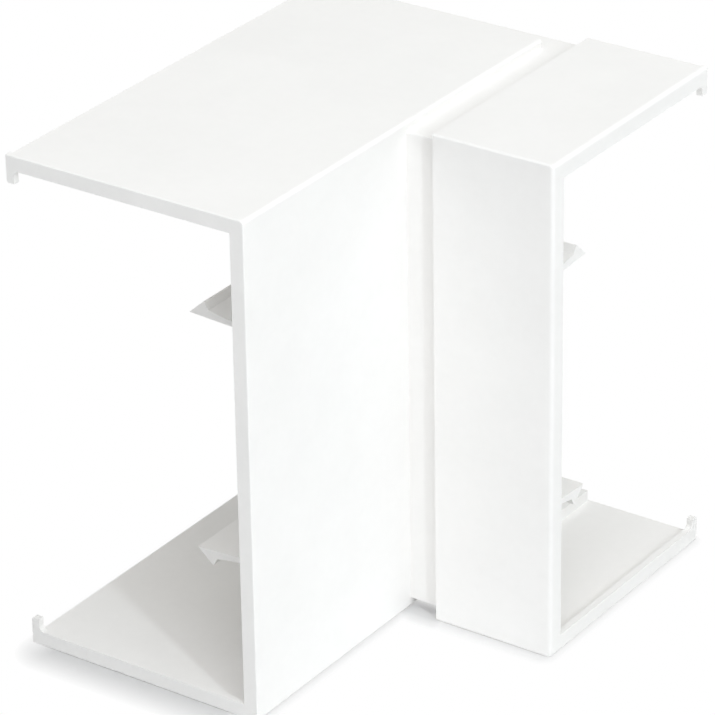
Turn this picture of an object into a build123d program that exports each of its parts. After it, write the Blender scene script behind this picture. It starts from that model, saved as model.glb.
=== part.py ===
from build123d import *
import os

# Inside corner hood for wall trunking, one white plastic moulding.
# Two C-shaped arms, open at the back, meet at a right angle:
# the left arm runs along -Y and the right arm along +X.
# A recessed neck between them leaves a shadow groove round the web and both plates,
# and its plates lead on as a thin flange along the left arm's far edge.
# Millimetres, +Z up. The hood stands on its lower plates, and the origin is under the middle of its box.

# Whole hood
height = 64.0  # over the upper and lower plates
wall = 1.3  # webs and plates
bend_radius = 0.5  # long inner corners, where web and plates meet

# Left arm
left_length = 30.6  # open end to the right arm's web face
left_depth = 32.7  # web face to the plates' back edge
left_far_side = 30.1  # right arm's web face to the plates' far edge
left_corner_radius = 0.45  # long outer corners, where web and plates meet
left_rim = 1.85  # thickness of the rim round the open end
left_end_radius = 0.15  # rounding of the open end's outline

# Neck and shadow groove
groove_width = 4.4
groove_depth = 1.15  # below the faces of the right arm's web and plates
neck_wall = 1.6
neck_radius = 0.2  # the neck's long outer corners
neck_depth = 33.2  # right arm's web face to the neck's back edge
shoulder = 0.8  # wall that carries the right arm out from the neck
flange_lap = 1.6  # how far the flange runs under the left arm's far edge
flange_thickness = 0.8

# Right arm
right_length = 16.3  # groove to open end
right_depth = 33.4  # web face to the plates' back edge
right_corner_radius = 0.3
right_rim = 2.2
right_end_radius = 0.5

# Rims round the open ends, with a hook at the back of each plate
rim_length = 0.8  # along the arm
hook_thickness = 1.1
hook_overhang = 0.4  # past the plates' back edge
hook_height = 3.5  # from the plates' outer face to the hook's tip
hook_fillet = 0.6
hook_tip_radius = 0.35

# Spring clips, a pair in each arm
clip_spacing = 30.5  # between the flat sides of a pair, at their tips
clip_lean = 0.6  # how far each flat side leans towards its plate on the way to the tip
clip_reach = 10.5  # behind the rim's inner face
clip_width = 10.0
clip_root = 1.1  # thickness at the web
clip_waist = 0.6  # thickness in the middle
left_clip_setback = 6.0  # from the open end
right_clip_setback = 3.5
barb_height = 1.8  # tip to the barb's crest
barb_run = 2.0  # length of the lead-in slope
barb_crest = 0.2
catch_run = 0.5  # length of the catch slope
catch_depth = 0.9  # crest to the foot of the catch

# Places of the two web faces and of the open ends
left_face = (left_depth + hook_overhang - groove_width - right_length) / 2
right_face = (left_length - right_depth - hook_overhang) / 2
left_end = right_face - left_length
right_end = left_face + groove_width + right_length

# Each channel face is set in from the full outline by (distance behind the web, distance inside the plates)
outline = (0, 0)
inside = (wall, wall)
neck_outside = (groove_depth, groove_depth)
neck_inside = (groove_depth + neck_wall, groove_depth + neck_wall)


def across_left_arm(y):
    """Plane across the left arm: its x runs from the web to the back, its y up from mid-height."""
    return Plane(origin=(left_face, y, height / 2), x_dir=(-1, 0, 0), z_dir=(0, 1, 0))


def across_right_arm(x):
    """Plane across the right arm: its x runs from the web to the back, its y up from mid-height."""
    return Plane(origin=(x, right_face, height / 2), x_dir=(0, 1, 0), z_dir=(1, 0, 0))


def block(depth, inset, radius):
    """Rectangle from a web to its back edge, set in from the full outline, with rounded web corners."""
    with BuildSketch() as profile:
        with Locations((inset[0], 0)):
            Rectangle(depth - inset[0], height - 2 * inset[1], align=(Align.MIN, Align.CENTER))
        fillet(profile.vertices().group_by(Axis.X)[0], radius)
    return profile.sketch


def channel(start, length, depth, outer, inner, radius):
    """Extrude a C-shaped length that is open at its back."""
    with BuildSketch(start) as section:
        add(block(depth, outer, radius))
        add(block(depth, inner, bend_radius), mode=Mode.SUBTRACT)
    extrude(section.sketch, amount=length)


def hooked_rim(start, depth, rim, radius):
    """Extrude the rim round an open end, with the plates' back edges turned inwards as hooks."""
    back = depth + hook_overhang
    with BuildSketch(start) as section:
        add(block(back, outline, radius))
        with Locations((rim, 0)):
            Rectangle(
                back - hook_thickness - rim,
                height - 2 * rim,
                align=(Align.MIN, Align.CENTER),
                mode=Mode.SUBTRACT,
            )
        hook_roots = section.vertices().group_by(Axis.X)[-2]
        fillet(hook_roots, hook_fillet)
        with Locations((back, 0)):
            Rectangle(
                depth / 2,
                height - 2 * hook_height,
                align=(Align.MAX, Align.CENTER),
                mode=Mode.SUBTRACT,
            )
        back_corners = section.vertices().group_by(Axis.X)[-1].sort_by(Axis.Y)
        fillet(back_corners[1:-1], hook_tip_radius)
    extrude(section.sketch, amount=rim_length)


def clip_pair(start, rim):
    """Extrude two spring clips, above and below mid-height, with their barbs facing the plates."""
    flat = clip_spacing / 2
    root_flat = flat - clip_lean
    root = wall / 2
    tip = rim + clip_reach
    crest = tip - barb_run
    catch = crest - barb_crest - catch_run
    foot = flat + barb_height - catch_depth
    waist = flat - clip_lean / 2 + clip_waist
    with BuildSketch(start) as section:
        with BuildLine():
            Polyline(
                (root, root_flat + clip_root),
                (root, root_flat),
                (tip, flat),
                (crest, flat + barb_height),
                (crest - barb_crest, flat + barb_height),
                (catch, foot),
            )
            ThreePointArc((catch, foot), ((catch + root) / 2, waist), (root, root_flat + clip_root))
        make_face()
        mirror(about=Plane.XZ)
    extrude(section.sketch, amount=clip_width)


with BuildPart() as hood:
    # Left arm, with a window through its web into the neck
    left_run = left_length + left_far_side
    channel(across_left_arm(left_end), left_run, left_depth, outline, inside, left_corner_radius)
    with BuildSketch(across_right_arm(left_face - wall)) as window:
        add(block(neck_depth, neck_inside, bend_radius))
    extrude(amount=wall, mode=Mode.SUBTRACT)

    # Flange along the left arm's far edge, its outer faces level with the neck's
    flange_width = neck_depth - left_far_side + flange_lap
    flange_height = height - 2 * groove_depth
    with BuildSketch(across_right_arm(left_face - left_depth)) as flange:
        with Locations((neck_depth, 0)):
            Rectangle(flange_width, flange_height, align=(Align.MAX, Align.CENTER))
            Rectangle(
                flange_width,
                flange_height - 2 * flange_thickness,
                align=(Align.MAX, Align.CENTER),
                mode=Mode.SUBTRACT,
            )
    extrude(amount=left_depth)

    # Neck, the shoulder that steps out from it, and the right arm
    neck_run = groove_width + shoulder
    channel(across_right_arm(left_face), neck_run, neck_depth, neck_outside, neck_inside, neck_radius)
    right_start = across_right_arm(left_face + groove_width)
    channel(right_start, shoulder, neck_depth, outline, neck_inside, right_corner_radius)
    channel(right_start, right_length, right_depth, outline, inside, right_corner_radius)

    # Rims with hooks at both open ends
    hooked_rim(across_left_arm(left_end), left_depth, left_rim, left_corner_radius)
    hooked_rim(across_right_arm(right_end - rim_length), right_depth, right_rim, right_corner_radius)

    # Spring clips in both arms
    clip_pair(across_left_arm(left_end + left_clip_setback), left_rim)
    clip_pair(across_right_arm(right_end - right_clip_setback - clip_width), right_rim)

    # Rounded outline of both open ends: each upright edge leads on round the whole outline
    upright_edges = hood.edges().filter_by(Axis.Z)
    left_upright = upright_edges.group_by(Axis.Y)[0].sort_by(Axis.X)[-1]
    right_upright = upright_edges.group_by(Axis.X)[-1].sort_by(Axis.Y)[0]
    fillet(left_upright, left_end_radius)
    fillet(right_upright, right_end_radius)

hood.part.label = "inside_corner_hood"

os.makedirs("parts", exist_ok=True)
export_step(hood.part, "parts/inside_corner_hood.step")
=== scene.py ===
import math
import bpy
from mathutils import Matrix, Vector


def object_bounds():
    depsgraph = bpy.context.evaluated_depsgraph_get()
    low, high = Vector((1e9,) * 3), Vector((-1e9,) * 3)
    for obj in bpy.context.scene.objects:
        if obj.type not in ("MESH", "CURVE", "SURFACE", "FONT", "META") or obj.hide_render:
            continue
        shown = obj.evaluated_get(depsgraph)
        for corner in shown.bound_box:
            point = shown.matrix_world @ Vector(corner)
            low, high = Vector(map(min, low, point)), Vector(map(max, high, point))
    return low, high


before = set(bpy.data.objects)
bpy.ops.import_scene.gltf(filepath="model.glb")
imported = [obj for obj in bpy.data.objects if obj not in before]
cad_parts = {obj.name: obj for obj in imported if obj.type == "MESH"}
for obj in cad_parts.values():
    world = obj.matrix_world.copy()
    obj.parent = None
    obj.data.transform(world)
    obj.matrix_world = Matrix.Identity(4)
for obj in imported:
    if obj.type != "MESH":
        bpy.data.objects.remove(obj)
cad_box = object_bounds()

# The hood, in metres: its height, and the two web faces whose planes cross in the inner corner
HOOD_HEIGHT = cad_box[1].z - cad_box[0].z
LEFT_WEB_FACE = 0.0062  # place along X
RIGHT_WEB_FACE = -0.0016  # place along Y

# The view: a long lens, about 35 degrees to the right of the left arm's end and 27 degrees up
IMAGE_WIDTH = 715  # pixels
FOCAL_LENGTH = 4273.0  # pixels
SENSOR_WIDTH = 36.0  # millimetres
AZIMUTH = 35.05  # degrees, from -Y towards +X
ELEVATION = 27.05
ROLL = -0.97
CAMERA_DISTANCE = 7.844 * HOOD_HEIGHT  # from the inner corner at mid-height
CAMERA_ACROSS = -0.0836 * HOOD_HEIGHT  # sideways from there
CAMERA_UP = 0.0320 * HOOD_HEIGHT
NEAREST, FARTHEST = 0.01, 20.0  # what the camera sees, in metres

# The plastic: each noise has its waves per metre, detail and roughness
CLOUDS = (70.0, 3.0, 0.55)
MOTTLE = (900.0, 4.0, 0.6)
GRAIN = (3600.0, 3.0, 0.6)
CLOUD_RANGE = (0.25, 0.75)  # noise values that run from the darker to the lighter tint
DARKER_TINT = (0.882, 0.873, 0.858, 1)
LIGHTER_TINT = (0.912, 0.903, 0.888, 1)
MOTTLE_RANGE = (0.3, 0.7)  # noise values that run over the two ranges below
MOTTLE_SHADE = (0.985, 1.0)
ROUGHNESS = (0.40, 0.50)
SPECULAR_LEVEL = 0.45
REFRACTION = 1.5
GRAIN_STRENGTH = 0.12
GRAIN_HEIGHT = 0.00002

# The floor
FLOOR_HALF = 1.5
FLOOR_DROP = 0.00002  # below the hood, so that the two don't coincide
PAPER = (0.86, 0.86, 0.86, 1)  # as the light meets it
# The darker paper paints extra shade on the floor near the hood, on top of the real shade from the lamps
PAINTED_SHADE_PAPER = (0.62, 0.62, 0.62, 1)  # as the eye meets it in the shade zones
WHITE = (1, 1, 1, 1)

# Zones where the floor shows its real shade on a darker paper, so partly painted shadow: two corners in X
# and Y, how far the shade reaches beyond them, and how white the floor still is inside
PAINTED_SHADE_ZONES = {
    "left arm": ((-0.0233, -0.0324), (0.0012, 0.0280), 0.0050, 0.0),
    "left web's foot": ((0.0012, -0.0318), (LEFT_WEB_FACE, RIGHT_WEB_FACE), 0.0011, 0.54),
    "right arm": ((0.0118, -0.0014), (0.0256, 0.0314), 0.0022, 0.32),
    "neck": ((LEFT_WEB_FACE, RIGHT_WEB_FACE), (0.0106, 0.0), 0.0023, 0.17),
}

# The light: a soft fill all round, and lamps, each with its azimuth and elevation in degrees,
# distance, width, height, level and colour
FILL_LEVEL = 0.16
FILL_COLOUR = (0.88, 0.96, 1.0, 1)
LAMPS = {
    "softbox_over": (60, 72, 0.8, 0.9, 0.9, 0.745, (0.99, 0.993, 1.0)),
    "softbox_right": (60, 38, 0.8, 0.9, 0.7, 0.16, (0.86, 0.96, 1.0)),
    "softbox_front_right": (40, 32, 0.8, 0.7, 0.6, 0.21, (1.0, 0.92, 0.90)),
    "softbox_left": (-90, 35, 0.8, 0.7, 0.6, 0.145, (1.0, 0.93, 0.84)),
    "softbox_behind": (150, 32, 0.8, 0.7, 0.6, 0.085, (1.0, 0.92, 0.70)),
    "strip": (63, 26, 1.0, 0.05, 0.28, 0.235, (0.89, 0.955, 1.0)),
}


def towards(azimuth, elevation):
    """Direction at an azimuth, turned from -Y towards +X, and an elevation, both in degrees."""
    turn = math.radians(azimuth)
    rise = math.radians(elevation)
    level = Vector((math.sin(turn), -math.cos(turn), 0))
    return math.cos(rise) * level + math.sin(rise) * Vector((0, 0, 1))


def empty_nodes(owner):
    """Gives a material or world an empty node tree, and returns its nodes and links."""
    owner.use_nodes = True
    owner.node_tree.nodes.clear()
    return owner.node_tree.nodes, owner.node_tree.links


def noise(nodes, links, place, settings):
    """A noise texture in the object's own coordinates."""
    node = nodes.new("ShaderNodeTexNoise")
    for socket, value in zip(("Scale", "Detail", "Roughness"), settings):
        node.inputs[socket].default_value = value
    links.new(place.outputs["Object"], node.inputs["Vector"])
    return node.outputs["Fac"]


def span(nodes, links, value, source, target):
    """Maps a value from the source range to the target range, clamped."""
    node = nodes.new("ShaderNodeMapRange")
    node.inputs["From Min"].default_value = source[0]
    node.inputs["From Max"].default_value = source[1]
    node.inputs["To Min"].default_value = target[0]
    node.inputs["To Max"].default_value = target[1]
    links.new(value, node.inputs["Value"])
    return node.outputs["Result"]


def combine(nodes, links, operation, first, second):
    """One step of arithmetic on two values."""
    node = nodes.new("ShaderNodeMath")
    node.operation = operation
    links.new(first, node.inputs[0])
    links.new(second, node.inputs[1])
    return node.outputs["Value"]


def vector_step(nodes, links, operation, vector, constant=(0, 0, 0)):
    """One step of arithmetic on a vector and, where the operation takes one, a constant vector."""
    node = nodes.new("ShaderNodeVectorMath")
    node.operation = operation
    links.new(vector, node.inputs[0])
    node.inputs[1].default_value = constant
    return node.outputs


def choose(nodes, links, share, first, second):
    """Mixes two shaders: the first at a share of 0, the second at 1."""
    node = nodes.new("ShaderNodeMixShader")
    links.new(share, node.inputs["Fac"])
    links.new(first, node.inputs[1])
    links.new(second, node.inputs[2])
    return node.outputs["Shader"]


def seen_by_eye(nodes, links):
    """1 on rays from the camera, from gloss and through glass, and 0 on rays that carry light."""
    path = nodes.new("ShaderNodeLightPath").outputs
    direct = combine(nodes, links, "MAXIMUM", path["Is Camera Ray"], path["Is Glossy Ray"])
    return combine(nodes, links, "MAXIMUM", direct, path["Is Transmission Ray"])


def hood_material():
    """Satin white moulded plastic: a fine grain, faint flow clouds and a slightly uneven gloss."""
    material = bpy.data.materials.new("hood_plastic")
    nodes, links = empty_nodes(material)
    out = nodes.new("ShaderNodeOutputMaterial")
    shader = nodes.new("ShaderNodeBsdfPrincipled")
    links.new(shader.outputs["BSDF"], out.inputs["Surface"])
    place = nodes.new("ShaderNodeTexCoord")
    clouds = noise(nodes, links, place, CLOUDS)
    mottle = noise(nodes, links, place, MOTTLE)
    grain = noise(nodes, links, place, GRAIN)

    tint = nodes.new("ShaderNodeValToRGB")
    stops = tint.color_ramp.elements
    for stop, position, colour in zip(stops, CLOUD_RANGE, (DARKER_TINT, LIGHTER_TINT)):
        stop.position = position
        stop.color = colour
    links.new(clouds, tint.inputs["Fac"])
    speck = nodes.new("ShaderNodeMix")
    speck.data_type = "RGBA"
    speck.blend_type = "MULTIPLY"
    speck.inputs["Factor"].default_value = 1.0
    links.new(tint.outputs["Color"], speck.inputs["A"])
    links.new(span(nodes, links, mottle, MOTTLE_RANGE, MOTTLE_SHADE), speck.inputs["B"])
    links.new(speck.outputs["Result"], shader.inputs["Base Color"])

    links.new(span(nodes, links, mottle, MOTTLE_RANGE, ROUGHNESS), shader.inputs["Roughness"])
    shader.inputs["Specular IOR Level"].default_value = SPECULAR_LEVEL
    shader.inputs["IOR"].default_value = REFRACTION

    bump = nodes.new("ShaderNodeBump")
    bump.inputs["Strength"].default_value = GRAIN_STRENGTH
    bump.inputs["Distance"].default_value = GRAIN_HEIGHT
    links.new(grain, bump.inputs["Height"])
    links.new(bump.outputs["Normal"], shader.inputs["Normal"])
    return material


def white_share(nodes, links, place, zone):
    """How white the floor is to the eye: least inside a zone, where the darker paper of the painted shade
    shows most, and 1 from the zone's reach onwards.
    """
    low, high, reach, least = zone
    middle = [(a + b) / 2 for a, b in zip(low, high)]
    half = [(b - a) / 2 for a, b in zip(low, high)]
    offset = vector_step(nodes, links, "SUBTRACT", place.outputs["Object"], (*middle, 0))["Vector"]
    across = vector_step(nodes, links, "ABSOLUTE", offset)["Vector"]
    beyond = vector_step(nodes, links, "SUBTRACT", across, (*half, 1))["Vector"]
    outside = vector_step(nodes, links, "MAXIMUM", beyond)["Vector"]
    distance = vector_step(nodes, links, "LENGTH", outside)["Value"]
    return span(nodes, links, distance, (0.0, reach), (least, 1.0))


def floor_material():
    """Pale matt paper: to the eye it is a darker paper close round the hood, which shows the real shade
    and adds painted shadow, and plain white further off.
    """
    material = bpy.data.materials.new("floor_paper")
    nodes, links = empty_nodes(material)
    out = nodes.new("ShaderNodeOutputMaterial")
    paper = nodes.new("ShaderNodeBsdfDiffuse")
    paper.inputs["Color"].default_value = PAPER
    painted_shade_bsdf = nodes.new("ShaderNodeBsdfDiffuse")
    painted_shade_bsdf.inputs["Color"].default_value = PAINTED_SHADE_PAPER
    white = nodes.new("ShaderNodeEmission")
    white.inputs["Color"].default_value = WHITE
    white.inputs["Strength"].default_value = 1.0

    place = nodes.new("ShaderNodeTexCoord")
    shares = [white_share(nodes, links, place, zone) for zone in PAINTED_SHADE_ZONES.values()]
    least = shares[0]
    for share in shares[1:]:
        least = combine(nodes, links, "MINIMUM", least, share)
    # Painted shadow: near the hood the eye sees the darker paper, lit for real, fading out to plain white
    to_eye = choose(nodes, links, least, painted_shade_bsdf.outputs["BSDF"], white.outputs["Emission"])
    surface = choose(nodes, links, seen_by_eye(nodes, links), paper.outputs["BSDF"], to_eye)
    links.new(surface, out.inputs["Surface"])
    return material


def lay_floor():
    """A flat square floor just under the hood."""
    signs = ((-1, -1), (1, -1), (1, 1), (-1, 1))
    corners = [(x * FLOOR_HALF, y * FLOOR_HALF, -FLOOR_DROP) for x, y in signs]
    mesh = bpy.data.meshes.new("floor")
    mesh.from_pydata(corners, [], [(0, 1, 2, 3)])
    mesh.materials.append(floor_material())
    floor = bpy.data.objects.new("floor", mesh)
    bpy.context.scene.collection.objects.link(floor)
    return floor


def studio_world():
    """White to the eye, and a soft even fill on the hood."""
    world = bpy.data.worlds.new("studio")
    bpy.context.scene.world = world
    nodes, links = empty_nodes(world)
    out = nodes.new("ShaderNodeOutputWorld")
    fill = nodes.new("ShaderNodeBackground")
    fill.inputs["Color"].default_value = FILL_COLOUR
    fill.inputs["Strength"].default_value = FILL_LEVEL
    white = nodes.new("ShaderNodeBackground")
    white.inputs["Color"].default_value = WHITE
    white.inputs["Strength"].default_value = 1.0
    eye = seen_by_eye(nodes, links)
    surface = choose(nodes, links, eye, fill.outputs["Background"], white.outputs["Background"])
    links.new(surface, out.inputs["Surface"])


def softbox(name, azimuth, elevation, distance, width, height, level, colour):
    """A soft lamp that lights a face turned to it by about the level."""
    direction = towards(azimuth, elevation)
    light = bpy.data.lights.new(name, "AREA")
    light.shape = "RECTANGLE"
    light.size = width
    light.size_y = height
    light.color = colour
    light.energy = level * math.pi ** 2 * distance ** 2
    lamp = bpy.data.objects.new(name, light)
    bpy.context.scene.collection.objects.link(lamp)
    lamp.location = Vector((0, 0, HOOD_HEIGHT / 2)) + direction * distance
    lamp.rotation_mode = "QUATERNION"
    lamp.rotation_quaternion = direction.to_track_quat("Z", "Y")


def set_camera():
    """The camera, placed from the inner corner at mid-height and turned about its own axis by the roll."""
    back = towards(AZIMUTH, ELEVATION)
    level_right = Vector((0, 0, 1)).cross(back).normalized()
    level_up = back.cross(level_right)
    roll = math.radians(ROLL)
    right = math.cos(roll) * level_right + math.sin(roll) * level_up
    up = math.cos(roll) * level_up - math.sin(roll) * level_right
    lens = bpy.data.cameras.new("camera")
    lens.sensor_width = SENSOR_WIDTH
    lens.lens = FOCAL_LENGTH / IMAGE_WIDTH * SENSOR_WIDTH
    lens.clip_start = NEAREST
    lens.clip_end = FARTHEST
    camera = bpy.data.objects.new("camera", lens)
    bpy.context.scene.collection.objects.link(camera)
    inner_corner = Vector((LEFT_WEB_FACE, RIGHT_WEB_FACE, HOOD_HEIGHT / 2))
    place = inner_corner + CAMERA_ACROSS * right + CAMERA_UP * up + CAMERA_DISTANCE * back
    turn = Matrix((right, up, back)).transposed().to_4x4()
    camera.matrix_world = Matrix.Translation(place) @ turn
    bpy.context.scene.camera = camera


# The hood keeps its solid and gets the plastic
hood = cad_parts["inside_corner_hood"]
hood.data.materials.clear()
hood.data.materials.append(hood_material())

lay_floor()
studio_world()
for name, settings in LAMPS.items():
    softbox(name, *settings)
set_camera()
bpy.context.scene.view_settings.view_transform = "Standard"
